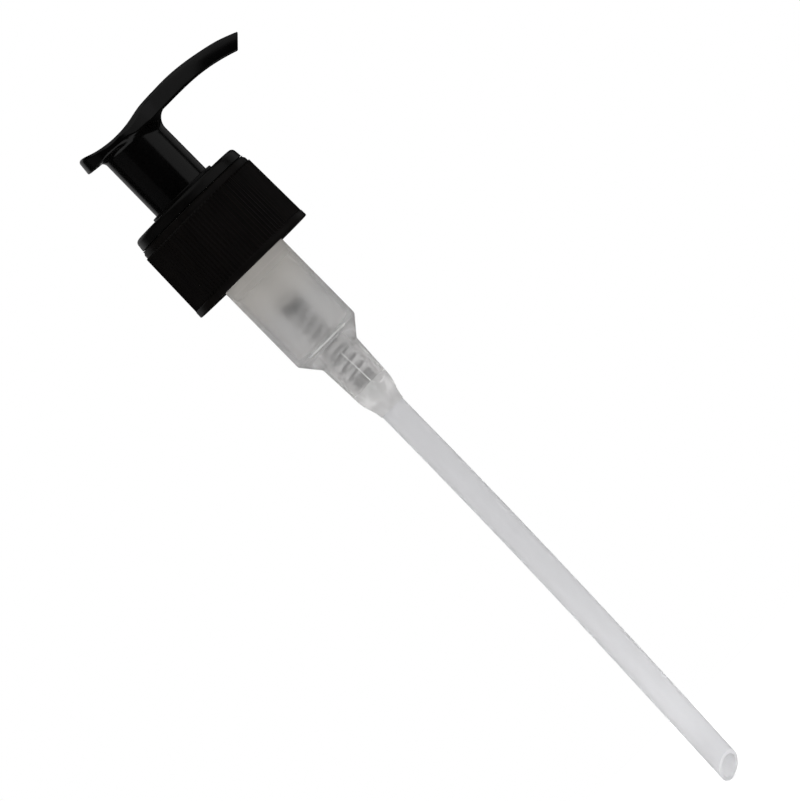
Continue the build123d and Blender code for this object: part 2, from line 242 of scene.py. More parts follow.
PAD_SHAPE = 2.4  # 2 would be an ellipse, more is squarer
PAD_LEAN, ARM_LEAN = 0.1, 0.22  # how far the sides lean in for each millimetre up
ARM_BELLY = 0.04  # how the arm's sides fall away from their middle height, for each square millimetre
CROWN_DROP, CROWN_AT, CROWN_MOST = 0.2, 4.0, 1.0  # the arm's top falls this much at this half width
PAD_EDGE, ARM_EDGE = 0.9, 0.5  # rounding of the upper edge
PAD_LOWER_EDGE, LOWER_EDGE = 0.95, 0.25
TIP_POINT = (34.75, 24.57)
TIP_NORMAL = (0.721, -0.693)
TIP_EDGE = 0.2

COLUMN_RADIUS = 7.85  # at the foot
COLUMN_DRAFT = 0.004
COLUMN_TOP = 25.4
COLUMN_EDGE = 0.25
PAD_FILLET, ARM_FILLET = 1.3, 3.6  # between the column and the underside

SOCKET_RADIUS = 3.95
SOCKET_WALL = 5.0
SOCKET_MOUTH_RADIUS = 5.05
SOCKET_MOUTH_TOP = 10.5
JACKET_RADIUS = 6.8
JACKET_TOP = 20.5
RISER_RADIUS = 2.2
RISER_LOW, RISER_HIGH = 15, 22.9
OUTLET_RADIUS = 1.4
OUTLET_BEND = (16.41, -8.78, 35.15)  # centre x, centre z and radius of the passage's arc
OUTLET_START = (25.0, 25.3)  # where the arc runs on as the straight bore
OUTLET_WAY = (0.9697, -0.2444)
OUTLET_LAP = 0.2

HEAD_GRID = 0.2
HEAD_MARGIN = 0.6


def head_plan(x, y, rise):
    """Outline seen from above: a thumb pad that narrows into the arm. The sides lean in as they rise, and
    the arm's sides are also a little crowned."""
    arm = (np.abs(y) - HALF_WIDTH(x)) / stretch_of(HALF_WIDTH, x)
    back = np.maximum(PAD_MIDDLE - x, 0) / PAD_REACH
    side = np.abs(y) / HALF_WIDTH(PAD_MIDDLE)
    bulge = (back**PAD_SHAPE + side**PAD_SHAPE) ** (1 / PAD_SHAPE)
    pad = (bulge - 1) * PAD_REACH
    share = smooth_step(x, PAD_MIDDLE - 1.5, PAD_MIDDLE + 1.5)
    lean = eased(x, -4, 6, PAD_LEAN, ARM_LEAN)
    middle = (ARM_TOP(x) + ARM_UNDER(x)) / 2 - PLAN_HEIGHT
    belly = eased(x, 6, 18, 0, ARM_BELLY) * (rise - middle) ** 2
    return pad * (1 - share) + arm * share + lean * rise + belly


def head_slab(x, y, z):
    """The saddle and arm, cut off square across the tip."""
    crown = np.minimum(eased(x, -2, 12, 0, CROWN_DROP) * (y / CROWN_AT) ** 2, CROWN_MOST)
    top = (z - ARM_TOP(x) + crown) / stretch_of(ARM_TOP, x)
    under = (ARM_UNDER(x) - z) / stretch_of(ARM_UNDER, x)
    tip = (x - TIP_POINT[0]) * TIP_NORMAL[0] + (z - TIP_POINT[1]) * TIP_NORMAL[1]
    upper_edge = eased(x, -4, 4, PAD_EDGE, ARM_EDGE)
    under_pad = smooth_step(x, -8.5, -5.5) * (1 - smooth_step(x, 0.0, 2.5))
    lower_edge = LOWER_EDGE + (PAD_LOWER_EDGE - LOWER_EDGE) * under_pad
    slab = round_and(head_plan(x, y, z - PLAN_HEIGHT), top, upper_edge)
    slab = round_and(slab, under, lower_edge)
    return round_and(slab, tip, TIP_EDGE)


def head_hollow(x, y, z, radial):
    """Space round the stem's socket, the socket itself, and the passage out to the nozzle."""
    jacket = np.maximum(rod_field(radial, z, JACKET_RADIUS, 0, JACKET_TOP), SOCKET_WALL - radial)
    mouth = rod_field(radial, z, SOCKET_MOUTH_RADIUS, 0, SOCKET_MOUTH_TOP)
    socket = rod_field(radial, z, SOCKET_RADIUS, 0, JACKET_TOP)
    riser = rod_field(radial, z, RISER_RADIUS, RISER_LOW, RISER_HIGH)
    cx, cz, bend = OUTLET_BEND
    arc = np.hypot(np.hypot(x - cx, z - cz) - bend, y) - OUTLET_RADIUS
    arc = np.maximum(arc, np.maximum(-x, x - OUTLET_START[0]))
    along = (x - OUTLET_START[0]) * OUTLET_WAY[0] + (z - OUTLET_START[1]) * OUTLET_WAY[1]
    across = (z - OUTLET_START[1]) * OUTLET_WAY[0] - (x - OUTLET_START[0]) * OUTLET_WAY[1]
    outlet = np.maximum(np.hypot(across, y) - OUTLET_RADIUS, -OUTLET_LAP - along)
    hollow = jacket
    for space in (mouth, socket, riser, arc, outlet):
        hollow = np.minimum(hollow, space)
    return hollow


def head_field(x, y, z):
    """The whole head: slab, column with a fillet between them, and the hollows inside."""
    radial = np.hypot(x, y)
    foot = bottom_mm("actuator_head")
    column = round_and(radial - COLUMN_RADIUS + COLUMN_DRAFT * (z - foot), foot - z, COLUMN_EDGE)
    column = np.maximum(column, z - COLUMN_TOP)
    fillet = eased(x, 1.0, 7.5, PAD_FILLET, ARM_FILLET)
    solid = round_or(head_slab(x, y, z), column, fillet)
    return np.maximum(solid, -head_hollow(x, y, z, radial))


def head():
    """The black moulding, with normals taken from its field so that the gloss runs evenly."""
    low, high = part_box("actuator_head")
    low = np.array(low) / MM - HEAD_MARGIN
    high = np.array(high) / MM + HEAD_MARGIN
    verts, faces, normals = skin(head_field, low, high, HEAD_GRID)
    piece = new_object("head_moulding", verts, faces.tolist())
    piece.data.normals_split_custom_set_from_vertices(normals.tolist())
    return piece


# ---- Collar ----------------------------------------------------------------------------------------------

RIBS = 96
RIB_STEPS = 8  # points round each rib
RIB_RADIUS = 16.3  # crests at the top of the ribs
RIB_DEPTH = 0.36
RIB_DRAFT = math.tan(math.radians(1.1))
RIBS_TOP, RIBS_LOW = 2.05, -14.36
RIM_RADIUS = 16.75
TOP_HOLE = 9.85
TOP_EDGE = 0.35
BORE = 14.1
ROOF = 2.62
THREAD_PITCH = 4.233
THREAD_TURNS = 1.5
THREAD_DEPTH = 1.15
THREAD_START, THREAD_END = -14.4, -6.2
THREAD_FADE = 0.08  # of a turn, at each end


def rib_radius(z, turn):
    """Outer radius at a height and a turn (0 to 1): fine rounded ribs that fade out at both ends."""
    drafted = RIB_RADIUS + (RIBS_TOP - z) * RIB_DRAFT
    wave = np.abs(np.cos(math.pi * RIBS * turn)) ** 0.8
    fade = smooth_step(z, RIBS_LOW - 0.02, RIBS_LOW + 0.3) * (1 - smooth_step(z, RIBS_TOP - 0.3, RIBS_TOP))
    return drafted - RIB_DEPTH * wave * fade


def collar_profile():
    """(radius, height, kind) down the outside, across the lower rim and up the inside."""
    low = bottom_mm("screw_collar")
    top = top_mm("screw_collar")
    shoulder = [(TOP_HOLE, top), (TOP_HOLE + 0.1, top), (15.3, top), (15.55, top - 0.05)]
    shoulder += [
        (15.9 - TOP_EDGE * math.cos(a), top - 0.4 + TOP_EDGE * math.sin(a)) for a in (1.2, 0.8, 0.4)
    ]
    shoulder += [(15.95, 3.0), (15.98, 2.2), (16.0, RIBS_TOP + 0.03)]
    ribs = [RIBS_TOP, 2.0, 1.9, 1.75, *np.linspace(1.5, -13.9, 12), -14.1, -14.25, -14.32, RIBS_LOW]
    rim = [(RIM_RADIUS - 0.07, RIBS_LOW - 0.02), (RIM_RADIUS - 0.04, -14.5), (RIM_RADIUS, low + 0.25)]
    rim += [(RIM_RADIUS - 0.07, low + 0.07), (RIM_RADIUS - 0.25, low)]
    rim += [(BORE + 0.5, low), (BORE + 0.1, low + 0.2)]
    thread = np.linspace(low + 0.4, THREAD_END, 64)
    inside = [(BORE, -4.0), (BORE, -1.0), (BORE, 2.2), (BORE - 0.2, ROOF - 0.1), (BORE - 0.5, ROOF)]
    inside += [(TOP_HOLE + 0.15, ROOF), (TOP_HOLE, ROOF + 0.1)]
    profile = [(r, z, "plain") for r, z in shoulder]
    profile += [(RIB_RADIUS, z, "ribs") for z in ribs]
    profile += [(r, z, "plain") for r, z in rim]
    profile += [(BORE, z, "thread") for z in thread]
    profile += [(r, z, "plain") for r, z in inside]
    return profile


def thread_height(z, turn):
    """How far the neck thread stands in from the wall: a rounded ridge that fades out at both ends."""
    height = np.zeros_like(turn)
    for lap in range(3):
        wound = turn + lap
        middle = THREAD_START + wound * THREAD_PITCH
        fade_out = smooth_step(wound, THREAD_TURNS - THREAD_FADE, THREAD_TURNS)
        ends = smooth_step(wound, 0.0, THREAD_FADE) * (1 - fade_out)
        ridge = 1 - smooth_step(np.abs(z - middle), 0.3, 1.05)
        height = np.maximum(height, THREAD_DEPTH * ridge * ends)
    return height


def collar():
    """The ribbed cap as one closed skin, wound round the pump axis."""
    count = RIBS * RIB_STEPS
    turn = np.arange(count) / count
    angle = 2 * math.pi * turn
    rings = []
    for radius, z, kind in collar_profile():
        radii = np.full(count, float(radius))
        if kind == "ribs":
            radii = rib_radius(z, turn)
        if kind == "thread":
            radii = radii - thread_height(z, turn)
        rings.append(np.stack([radii * np.cos(angle), radii * np.sin(angle), np.full(count, z)], 1))
    verts = np.concatenate(rings)
    return new_object("ribbed_collar", verts, closed_grid(len(rings), count))


def closed_grid(rows, count):
    """Quads of a grid that closes on itself both ways, with its outside facing out."""
    faces = []
    for i in range(rows):
        j = (i + 1) % rows
        for k in range(count):
            m = (k + 1) % count
            faces.append((i * count + k, j * count + k, j * count + m, i * count + m))
    return faces


# ---- Spring ----------------------------------------------------------------------------------------------

SPRING_RADIUS = 2.475  # to the wire's middle
WIRE_RADIUS = 0.375
WIRE_SIDES = 14
STEPS_PER_TURN = 44
CLOSED_TURNS = 3.2  # at each end
ACTIVE_TURNS = 8.3
CLOSED_PITCH = 0.78
PITCH_EASE = 0.3  # turns over which the pitch opens
WIRE_ENDS = [(0.35, -0.9), (0.75, -0.6), (0.95, -0.25)]  # size and place of the domed end's rings, in radii


def spring_height(turn, length):
    """Height of the wire's middle above the lower end: close-wound ends and an open middle."""
    total = 2 * CLOSED_TURNS + ACTIVE_TURNS
    opens = CLOSED_TURNS
    closes = total - CLOSED_TURNS
    steps = np.linspace(0, total, 2000)
    openness = smooth_step(steps, opens - PITCH_EASE, opens + PITCH_EASE)
    openness = openness * (1 - smooth_step(steps, closes - PITCH_EASE, closes + PITCH_EASE))
    spare = length - CLOSED_PITCH * total
    rise = CLOSED_PITCH + spare * openness / np.trapz(openness, steps)
    climbed = np.concatenate([[0], np.cumsum((rise[1:] + rise[:-1]) / 2 * np.diff(steps))])
    return np.interp(turn, steps, climbed)


def spring():
    """The return spring's round wire, wound as one tube with domed cut ends."""
    low = bottom_mm("return_spring") + WIRE_RADIUS
    high = top_mm("return_spring") - WIRE_RADIUS
    total = 2 * CLOSED_TURNS + ACTIVE_TURNS
    turns = np.linspace(0, total, int(total * STEPS_PER_TURN))
    angle = 2 * math.pi * turns
    height = low + spring_height(turns, high - low)
    line = np.stack([SPRING_RADIUS * np.cos(angle), SPRING_RADIUS * np.sin(angle), height], 1)
    along = np.gradient(line, axis=0)
    along /= np.linalg.norm(along, axis=1)[:, None]
    out = np.stack([np.cos(angle), np.sin(angle), np.zeros_like(angle)], 1)
    up = np.cross(along, out)
    rings = []
    for size, back in WIRE_ENDS:
        rings.append((line[0] + along[0] * back * WIRE_RADIUS, out[0], up[0], size))
    rings += [(p, o, u, 1.0) for p, o, u in zip(line, out, up)]
    for size, back in reversed(WIRE_ENDS):
        rings.append((line[-1] - along[-1] * back * WIRE_RADIUS, out[-1], up[-1], size))
    spokes = np.linspace(0, 2 * math.pi, WIRE_SIDES, endpoint=False)
    verts = []
    for place, outward, upward, size in rings:
        for spoke in spokes:
            side = math.cos(spoke) * outward + math.sin(spoke) * upward
            verts.append(place + WIRE_RADIUS * size * side)
    faces = []
    for i in range(len(rings) - 1):
        row = i * WIRE_SIDES
        above = row + WIRE_SIDES
        for k in range(WIRE_SIDES):
            m = (k + 1) % WIRE_SIDES
            faces.append((row + k, row + m, above + m, above + k))
    last = (len(rings) - 1) * WIRE_SIDES
    faces.append(tuple(reversed(range(WIRE_SIDES))))
    faces.append(tuple(range(last, last + WIRE_SIDES)))
    return new_object("coil_spring", verts, faces)


# ---- Glowing strips in the housing's wall: painted highlights --------------------------------------------

FLOOR_EDGE_HEIGHT = -39.72
FLOOR_EDGE_HALF = 0.15
FLOOR_EDGE_INNER, FLOOR_EDGE_OUTER = 8.0, 8.6
FLOOR_EDGE_SPAN = 41  # degrees to each side of the front and of the back
GUIDE_RIBS = 4
ROOT_TOP, ROOT_LENGTH = -43.9, 9.3
ROOT_RADIUS, ROOT_TAPER = 5.22, 0.4
ROOT_DEPTH = 0.45
ROOT_HALF = 0.11
ROOT_TURN, ROOT_TWIST = 4.5, 5.0  # degrees from the rib's middle at the top, and more of it lower down


def floor_edge(facing):
    """Rows of corners of a glowing strip, a painted highlight, along the edge where the barrel's floor meets
    its wall, round one side.
    """
    low, high = FLOOR_EDGE_HEIGHT - FLOOR_EDGE_HALF, FLOOR_EDGE_HEIGHT + FLOOR_EDGE_HALF
    inner, outer = FLOOR_EDGE_INNER, FLOOR_EDGE_OUTER
    corners = ((inner, low), (outer, low), (outer, high), (inner, high))
    angles = np.radians(np.linspace(facing - FLOOR_EDGE_SPAN, facing + FLOOR_EDGE_SPAN, 40))
    return [[(r * math.cos(a), r * math.sin(a), z) for r, z in corners] for a in angles]


def rib_root(rib):
    """Rows of corners of a glowing strip, a painted highlight, down the root of one guide rib in the spring
    chamber.
    """
    rows = []
    for share in np.linspace(0, 1, 12):
        z = ROOT_TOP - ROOT_LENGTH * share
        middle = math.radians(360 / GUIDE_RIBS * rib + ROOT_TURN + ROOT_TWIST * share)
        outer = ROOT_RADIUS - ROOT_TAPER * share
        inner = outer - ROOT_DEPTH
        half = ROOT_HALF / outer
        corners = ((inner, -half), (outer, -half), (outer, half), (inner, half))
        rows.append([(r * math.cos(middle + a), r * math.sin(middle + a), z) for r, a in corners])
    return rows


def painted_highlight_strips():
    """Thin glowing strips in the housing's wall that paint highlights: along the floor's edge, front and
    back, and down the ribs' roots.
    """
    strips = [floor_edge(facing) for facing in (-90, 90)]
    strips += [rib_root(rib) for rib in range(GUIDE_RIBS)]
    verts = []
    faces = []
    for rows in strips:
        first = len(verts)
        for row in rows:
            verts.extend(row)
        for a in range(first, first + 4 * (len(rows) - 1), 4):
            for k in range(4):
                m = (k + 1) % 4
                faces.append((a + k, a + m, a + 4 + m, a + 4 + k))
        faces.append((first + 3, first + 2, first + 1, first))
        last = first + 4 * (len(rows) - 1)
        faces.append((last, last + 1, last + 2, last + 3))
    return new_object("housing_painted_highlights", verts, faces, smooth=False)


# ---- Materials -------------------------------------------------------------------------------------------

NOISE_LOW, NOISE_HIGH = 0.3, 0.7  # where nearly all of a noise texture's values lie


class Finish:
    """A node material round one Principled shader, with short calls for its textures."""

    def __init__(self, name):
        self.material = bpy.data.materials.new(name)
        self.material.use_nodes = True
        self.nodes = self.material.node_tree.nodes
        self.links = self.material.node_tree.links
        self.shader = self.nodes["Principled BSDF"]
        place = self.nodes.new("ShaderNodeTexCoord")
        self.place = place.outputs["Object"]

    def set(self, **values):
        """Constants on the shader's own sockets."""
        for key, value in values.items():
            self.shader.inputs[key.replace("_", " ")].default_value = value

    def noise(self, scale, detail=4.0, stretch=None):
        """Noise at a scale in waves per metre. A stretch below 1 draws it out along Z."""
        node = self.nodes.new("ShaderNodeTexNoise")
        node.inputs["Scale"].default_value = scale
        node.inputs["Detail"].default_value = detail
        source = self.place
        if stretch:
            mapping = self.nodes.new("ShaderNodeMapping")
            mapping.inputs["Scale"].default_value = (1, 1, stretch)
            self.links.new(source, mapping.inputs["Vector"])
            source = mapping.outputs["Vector"]
        self.links.new(source, node.inputs["Vector"])
        return node.outputs["Fac"]

    def cells(self, scale):
        """Distance from the middle of round cells, with so many cells per metre."""
        node = self.nodes.new("ShaderNodeTexVoronoi")
        node.inputs["Scale"].default_value = scale
        self.links.new(self.place, node.inputs["Vector"])
        return node.outputs["Distance"]

    def radius(self):
        """Distance from the pump axis, in metres."""
        flat = self.nodes.new("ShaderNodeMapping")
        flat.inputs["Scale"].default_value = (1, 1, 0)
        self.links.new(self.place, flat.inputs["Vector"])
        length = self.nodes.new("ShaderNodeVectorMath")
        length.operation = "LENGTH"
        self.links.new(flat.outputs["Vector"], length.inputs[0])
        return length.outputs["Value"]

    def height(self):
        """Height up the pump axis, in metres."""
        parts = self.nodes.new("ShaderNodeSeparateXYZ")
        self.links.new(self.place, parts.inputs["Vector"])
        return parts.outputs["Z"]

    def across(self, x, y, z):
        """Place measured along a direction, in metres."""
        node = self.nodes.new("ShaderNodeVectorMath")
        node.operation = "DOT_PRODUCT"
        node.inputs[1].default_value = (x, y, z)
        self.links.new(self.place, node.inputs[0])
        return node.outputs["Value"]

    def mapped(self, source, from_low, from_high, to_low, to_high):
        """A straight line from one range to another, held level outside the first."""
        node = self.nodes.new("ShaderNodeMapRange")
        node.inputs["From Min"].default_value = from_low
        node.inputs["From Max"].default_value = from_high
        node.inputs["To Min"].default_value = to_low
        node.inputs["To Max"].default_value = to_high
        self.links.new(source, node.inputs["Value"])
        return node.outputs["Result"]

    def along(self, source, *stops):
        """Piecewise straight curve through (input, output) stops."""
        (x0, v0), (x1, v1) = stops[:2]
        result = self.mapped(source, x0, x1, v0, v1)
        for (x0, v0), (x1, v1) in zip(stops[1:], stops[2:]):
            result = self.calculate("ADD", result, self.mapped(source, x0, x1, 0.0, v1 - v0))
        return result

    def grain(self, source, reach):
        """A noise turned into a small change of up to reach, up and down."""
        return self.mapped(source, NOISE_LOW, NOISE_HIGH, -reach, reach)

    def calculate(self, operation, *values):
        """One step of arithmetic on sockets or plain numbers."""
        node = self.nodes.new("ShaderNodeMath")
        node.operation = operation
        for socket, value in zip(node.inputs, values):
            if isinstance(value, (int, float)):
                socket.default_value = value
            else:
                self.links.new(value, socket)
        return node.outputs["Value"]

    def colour(self, source, dark, light):
        """Base colour between two colours, by a noise or cell texture."""
        node = self.nodes.new("ShaderNodeValToRGB")
        node.color_ramp.elements[0].position = NOISE_LOW
        node.color_ramp.elements[0].color = (*dark, 1)
        node.color_ramp.elements[1].position = NOISE_HIGH
        node.color_ramp.elements[1].color = (*light, 1)
        self.links.new(source, node.inputs["Fac"])
        self.links.new(node.outputs["Color"], self.shader.inputs["Base Color"])

    def tint(self, factor):
        """Multiplies the base colour by a factor between 0 and 1."""
        node = self.nodes.new("ShaderNodeMix")
        node.data_type = "RGBA"
        node.inputs["A"].default_value = (0, 0, 0, 1)
        before = self.shader.inputs["Base Color"]
        self.links.new(before.links[0].from_socket, node.inputs["B"])
        self.links.new(factor, node.inputs["Factor"])
        self.links.new(node.outputs["Result"], before)

    def wash(self, factor, colour):
        """Multiplies the base colour by another colour, more as the factor goes from 0 to 1."""
        node = self.nodes.new("ShaderNodeMix")
        node.data_type = "RGBA"
        node.blend_type = "MULTIPLY"
        node.inputs["B"].default_value = (*colour, 1)
        before = self.shader.inputs["Base Color"]
        self.links.new(before.links[0].from_socket, node.inputs["A"])
        self.links.new(factor, node.inputs["Factor"])
        self.links.new(node.outputs["Result"], before)

    def drive(self, source, socket):
        """Lets a texture or a calculation set a shader socket."""
        self.links.new(source, self.shader.inputs[socket])

    def roughness(self, source, low, high):
        """Roughness between two values, by a noise."""
        self.drive(self.mapped(source, NOISE_LOW, NOISE_HIGH, low, high), "Roughness")

    def bump(self, source, strength, height):
        """Relief of the given height in metres. Calls stack."""
        node = self.nodes.new("ShaderNodeBump")
        node.inputs["Strength"].default_value = strength
        node.inputs["Distance"].default_value = height
        self.links.new(source, node.inputs["Height"])
        before = self.shader.inputs["Normal"]
        if before.is_linked:
            self.links.new(before.links[0].from_socket, node.inputs["Normal"])
        self.links.new(node.outputs["Normal"], before)


PLASTIC_IOR = 1.49
GLASS_IOR = 1.52


def black_gloss():
    """Polished black polypropylene, with the faint waviness of a moulded surface."""
    f = Finish("black_gloss_pp")
    f.set(IOR=PLASTIC_IOR)
    f.colour(f.noise(900), (0.0005, 0.0004, 0.0004), (0.0010, 0.0008, 0.0008))
    f.roughness(f.noise(260, 6), 0.14, 0.22)
    f.bump(f.noise(140, 2), 0.06, 0.0002)
    return f.material


def black_satin():
    """Semi-gloss black polypropylene of the locking ring."""
    f = Finish("black_satin_pp")
    f.set(IOR=PLASTIC_IOR, Specular_IOR_Level=0.3)
    f.colour(f.noise(700), (0.0012, 0.0010, 0.0009), (0.0020, 0.0017, 0.0015))
    f.roughness(f.noise(320, 6), 0.26, 0.36)
    f.bump(f.noise(160, 2), 0.06, 0.0002)
    f.bump(f.noise(4200, 3), 0.04, 0.00003)
    return f.material


def black_ribbed():
    """Dull satin black polypropylene of the collar, clouded along its ribs."""
    f = Finish("black_ribbed_pp")
    f.set(IOR=PLASTIC_IOR, Specular_IOR_Level=0.14)
    f.colour(f.noise(500, 6, stretch=0.25), (0.0024, 0.0017, 0.0015), (0.0036, 0.0027, 0.0023))
    f.roughness(f.noise(420, 6), 0.34, 0.48)
    f.bump(f.noise(3600, 4), 0.1, 0.00004)
    return f.material


def natural_plastic(name, tint):
    """Milky uncoloured plastic of the inner mouldings. A faint emission stands for light scattered in it."""
    f = Finish(name)
    f.set(
        IOR=PLASTIC_IOR,
        Transmission_Weight=0.9,
        Emission_Color=(1, 0.98, 0.95, 1),
        Emission_Strength=0.02,
    )
    f.colour(f.noise(450), tuple(0.98 * c for c in tint), tint)
    f.roughness(f.noise(350, 5), 0.5, 0.62)
    f.bump(f.noise(3000, 3), 0.08, 0.00003)
    return f.material


def gasket_foam():
    """Foamed polyethylene washer with fine closed cells."""
    f = Finish("gasket_foam_pe")
    f.colour(f.cells(3200), (0.70, 0.70, 0.68), (0.86, 0.86, 0.84))
    f.roughness(f.noise(900), 0.7, 0.85)
    f.bump(f.cells(3200), 0.3, 0.0001)
    return f.material


def housing_pp():
    """Translucent uncoloured polypropylene: polished outside and frosted inside, so what is near the wall
    shows crisply and what is further in is blurred. It is milkiest and faintly yellow under the collar,
    with a thin ring just below painted lighter as a painted light line, and lighter towards the waist."""
    f = Finish("housing_pp")
    f.set(IOR=PLASTIC_IOR)
    height = f.height()
    f.colour(f.noise(160, 4, stretch=0.3), (0.965, 0.955, 0.95), (1.0, 0.995, 0.99))

    waist = (-0.057, 0.91), (-0.0545, 0.87), (-0.0505, 0.80), (-0.0425, 0.75)
    barrel = (-0.030, 0.71), (-0.022, 0.725), (-0.0182, 0.725)
    # Painted light line: a thin ring at about -18 mm, just below the collar, is tinted lighter than the
    # barrel.
    painted_light_line = (-0.0180, 0.79), (-0.0178, 0.74), (-0.0165, 0.76)
    f.tint(f.along(height, *waist, *barrel, *painted_light_line))
    f.wash(f.along(height, (-0.030, 0.0), (-0.0165, 1.0)), (1.0, 0.975, 0.93))

    wall_middle = f.along(height, (-0.061, 0.0033), (-0.0545, 0.0045), (-0.0412, 0.0048), (-0.0402, 0.0083))
    outside = f.calculate("GREATER_THAN", f.radius(), wall_middle)
    socket_inner = (-0.058, 0.2), (-0.0572, 0.5), (-0.0545, 0.5)
    chamber_inner = (-0.0535, 0.33), (-0.0462, 0.33), (-0.0436, 0.55)
    inner = f.along(height, *socket_inner, *chamber_inner)
    outer = f.along(height, (-0.0555, 0.5), (-0.053, 0.24))
    rough = f.calculate("MULTIPLY_ADD", outside, f.calculate("SUBTRACT", outer, inner), inner)
    f.drive(f.calculate("ADD", rough, f.grain(f.noise(420, 5), 0.02)), "Roughness")

    socket_clear = (-0.058, 0.72), (-0.0545, 0.72), (-0.0525, 0.80), (-0.044, 0.82)
    barrel_clear = (-0.040, 0.88), (-0.026, 0.88), (-0.021, 0.76), (-0.0165, 0.56)
    f.drive(f.along(height, *socket_clear, *barrel_clear), "Transmission Weight")
    f.bump(f.noise(900, 3), 0.04, 0.00004)
    return f.material


def painted_highlight_finish():
    """Pale uncoloured polypropylene with a glow of its own: a painted highlight where light would catch an
    edge.
    """
    f = Finish("painted_highlight_pp")
    # The emission paints the highlight: the strip glows though it is no lamp.
    f.set(IOR=PLASTIC_IOR, Emission_Color=(1, 1, 1, 1), Emission_Strength=0.16)
    f.colour(f.noise(700), (0.88, 0.88, 0.87), (0.94, 0.94, 0.93))
    f.roughness(f.noise(600), 0.5, 0.6)
    return f.material


TUBE_MOUTH, TUBE_FREE = -0.0606, -0.0612  # heights just inside the housing's socket and just below it
CUT_SLOPE_X, CUT_SLOPE_Y = 0.4, -0.75
CUT_LEVEL = -0.17133  # height at which the cut's plane crosses the pump axis


def tube_pe():
    """Translucent extruded polyethylene, with faint lengthwise die lines. It gets lighter towards the tip,
    where the slanted cut is whitened and the bore seen through the cut is painted a little darker, as shade
    inside the tube."""
    f = Finish("tube_pe")
    f.set(IOR=PLASTIC_IOR)
    height = f.height()
    f.colour(f.noise(500, 4, stretch=0.03), (0.93, 0.93, 0.945), (0.955, 0.955, 0.97))
    upper = (-0.064, 0.83), (TUBE_FREE, 0.85), (TUBE_MOUTH, 1.0)
    f.tint(f.along(height, (-0.17, 0.965), (-0.15, 0.935), (-0.11, 0.865), *upper))

    haze = f.along(height, (TUBE_FREE, 0.4), (TUBE_MOUTH, 0.15))
    f.drive(f.calculate("ADD", haze, f.grain(f.noise(600, 5, stretch=0.05), 0.04)), "Roughness")

    above_cut = f.across(-CUT_SLOPE_X, -CUT_SLOPE_Y, 1)
    cut_face = f.calculate("LESS_THAN", above_cut, CUT_LEVEL + 0.00005)
    clear = f.along(height, (-0.17, 0.56), (TUBE_FREE, 0.56), (TUBE_MOUTH, 0.68))
    f.drive(f.calculate("MULTIPLY_ADD", cut_face, -0.2, clear), "Transmission Weight")

    # Painted shade: near the tip, the far wall seen through the cut is tinted down to 0.93 for the shade
    # inside the bore.
    painted_shade_across = f.across(-CUT_SLOPE_X, CUT_SLOPE_Y, 1)
    f.tint(f.along(painted_shade_across, (CUT_LEVEL - 0.0002, 0.93), (CUT_LEVEL + 0.0002, 1.0)))
    f.bump(f.noise(1800, 3, stretch=0.02), 0.06, 0.00003)
    return f.material


def spring_steel():
    """Drawn stainless wire with fine drawing marks, coloured a near-black grey."""
    f = Finish("spring_steel")
    f.set(Metallic=1.0)
    f.colour(f.noise(1500, 5), (0.016, 0.015, 0.014), (0.040, 0.038, 0.036))
    f.roughness(f.noise(5200, 4), 0.24, 0.36)
    f.bump(f.noise(9000, 3, stretch=4.0), 0.1, 0.00002)
    return f.material


def ball_glass():
    """Soda-lime ball, faintly green and finely ground."""
    f = Finish("ball_glass")
    f.set(IOR=GLASS_IOR, Transmission_Weight=1.0)
    f.colour(f.noise(300), (0.86, 0.92, 0.90), (0.94, 0.97, 0.96))
    f.roughness(f.noise(1200, 4), 0.22, 0.28)
    return f.material


def pale_floor():
    """Even, nearly white studio floor."""
    f = Finish("floor_white")
    f.set(Specular_IOR_Level=0.0, Emission_Color=(1, 1, 1, 1), Emission_Strength=0.2)
    f.colour(f.noise(3), (0.90, 0.90, 0.90), (0.92, 0.92, 0.92))
    f.roughness(f.noise(6), 0.85, 0.9)
    return f.material


# ---- Studio ----------------------------------------------------------------------------------------------

SOFTBOX_DISTANCE = 0.8
FLOOR_RADIUS = 0.6
STUDIO_DARK = 0.01


def panel(name, place, aim, width, tall, radiance):
    """A rectangular light at a place, facing a point. Its radiance is what a mirror would show."""
    light = bpy.data.lights.new(name, "AREA")
    light.shape = "RECTANGLE"
    light.size = width
    light.size_y = tall
    light.energy = radiance * math.pi * width * tall
    lamp = bpy.data.objects.new(name, light)
    lamp.location = place
    lamp.rotation_mode = "QUATERNION"
    lamp.rotation_quaternion = (Vector(aim) - Vector(place)).to_track_quat("-Z", "Y")
    lamp.visible_camera = False
    lamp.visible_transmission = False
    bpy.context.scene.collection.objects.link(lamp)


def softbox(name, side_from, side_to, low, high, radiance):
    """An upright rectangular light round the pump.

    It spans two azimuths and two elevations, in degrees. Azimuth 0 is in front, at -Y, and 90 is at +X.
    """
    middle = math.radians((side_from + side_to) / 2)
    width = 2 * SOFTBOX_DISTANCE * math.tan(math.radians((side_to - side_from) / 2))
    foot = SOFTBOX_DISTANCE * math.tan(math.radians(low))
    head = SOFTBOX_DISTANCE * math.tan(math.radians(high))
    height = (foot + head) / 2
    place = (SOFTBOX_DISTANCE * math.sin(middle), -SOFTBOX_DISTANCE * math.cos(middle), height)
    panel(name, place, (0, 0, height), width, head - foot, radiance)


def studio_lights():
    """Softboxes for the streaks on the head, a wide soft overhead light, and a panel just above the floor
    for the undersides."""
    softbox("key", 42, 99, -12, 35, 0.28)
    softbox("arm_light", 14, 42, 10, 48, 0.23)
    softbox("tip_light", -12, 14, 32, 62, 0.26)
    softbox("left_fill", -98, -42, -12, 35, 0.05)
    softbox("right_rear", 112, 150, -12, 35, 0.14)
    softbox("left_rear", 182, 230, -12, 35, 0.3)
    panel("overhead", (0.15, -0.1, 0.8), (0, 0, 0), 1.0, 1.1, 0.26)
    panel("underlight", (-0.20, -0.18, -0.165), (-0.20, -0.1799, 0.5), 0.44, 0.34, 0.5)


